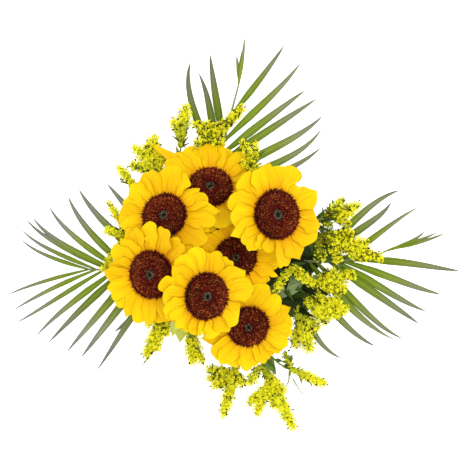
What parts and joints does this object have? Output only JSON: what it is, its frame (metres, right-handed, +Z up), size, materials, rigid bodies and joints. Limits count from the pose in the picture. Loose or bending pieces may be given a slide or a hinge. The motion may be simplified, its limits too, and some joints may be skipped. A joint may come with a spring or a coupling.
{
  "type": "cut sunflower bouquet",
  "caption": "Cut bouquet lying face up: sunflowers with goldenrod sprays and palm fronds, short stems bound with twine.",
  "frame": {"origin": "middle of the bouquet's outline, on the surface it lies on", "axes": "+Z up, out of the faces of the blooms; +X to the right as seen from above with the single palm frond that points away from the viewer along +Y"},
  "size_m": [0.6578, 0.5684, 0.2046],
  "materials": {
    "petals": "matte, soft sheen",
    "disc": "matte, rough",
    "sunflower_stem": "matte, hairy green",
    "palm_leaflets": "satin",
    "palm_rib": "satin",
    "goldenrod": "matte",
    "goldenrod_stem": "matte",
    "leaf": "matte",
    "twine": "matte fibre"
  },
  "bodies": {
    "root": {"goldenrod_spray_arm": "goldenrod", "goldenrod_spray_corner": "goldenrod", "goldenrod_spray_crest": "goldenrod", "goldenrod_spray_east": "goldenrod", "goldenrod_spray_edge": "goldenrod", "goldenrod_spray_elbow": "goldenrod", "goldenrod_spray_heel": "goldenrod", "goldenrod_spray_hip": "goldenrod", "goldenrod_spray_inner": "goldenrod", "goldenrod_spray_notch": "goldenrod", "goldenrod_spray_shoulder": "goldenrod", "goldenrod_spray_skirt": "goldenrod", "goldenrod_spray_spike": "goldenrod", "goldenrod_spray_toe": "goldenrod", "goldenrod_spray_tuft": "goldenrod", "goldenrod_spray_west": "goldenrod", "goldenrod_spray_wing": "goldenrod", "goldenrod_stem_bottom": "goldenrod_stem", "goldenrod_stem_left": "goldenrod_stem", "goldenrod_stem_lower_left": "goldenrod_stem", "goldenrod_stem_lower_right": "goldenrod_stem", "goldenrod_stem_right": "goldenrod_stem", "goldenrod_stem_top": "goldenrod_stem", "goldenrod_stem_upper_left": "goldenrod_stem", "goldenrod_stem_upper_right": "goldenrod_stem", "leaf_bud": "leaf", "leaf_core": "leaf", "leaf_inner": "leaf", "leaf_low": "leaf", "palm_frond_left": "palm_leaflets", "palm_frond_right": "palm_leaflets", "palm_frond_top": "palm_leaflets", "palm_stalk_left": "palm_rib", "palm_stalk_right": "palm_rib", "palm_stalk_top": "palm_rib", "sunflower_bottom_disc": "disc", "sunflower_bottom_petals": "petals", "sunflower_bottom_stem": "sunflower_stem", "sunflower_front_disc": "disc", "sunflower_front_petals": "petals", "sunflower_front_stem": "sunflower_stem", "sunflower_lower_left_disc": "disc", "sunflower_lower_left_petals": "petals", "sunflower_lower_left_stem": "sunflower_stem", "sunflower_middle_disc": "disc", "sunflower_middle_petals": "petals", "sunflower_middle_stem": "sunflower_stem", "sunflower_right_disc": "disc", "sunflower_right_petals": "petals", "sunflower_right_stem": "sunflower_stem", "sunflower_top_disc": "disc", "sunflower_top_petals": "petals", "sunflower_top_stem": "sunflower_stem", "sunflower_upper_left_disc": "disc", "sunflower_upper_left_petals": "petals", "sunflower_upper_left_stem": "sunflower_stem", "twine_tie": "twine"}
  },
  "joints": []
}
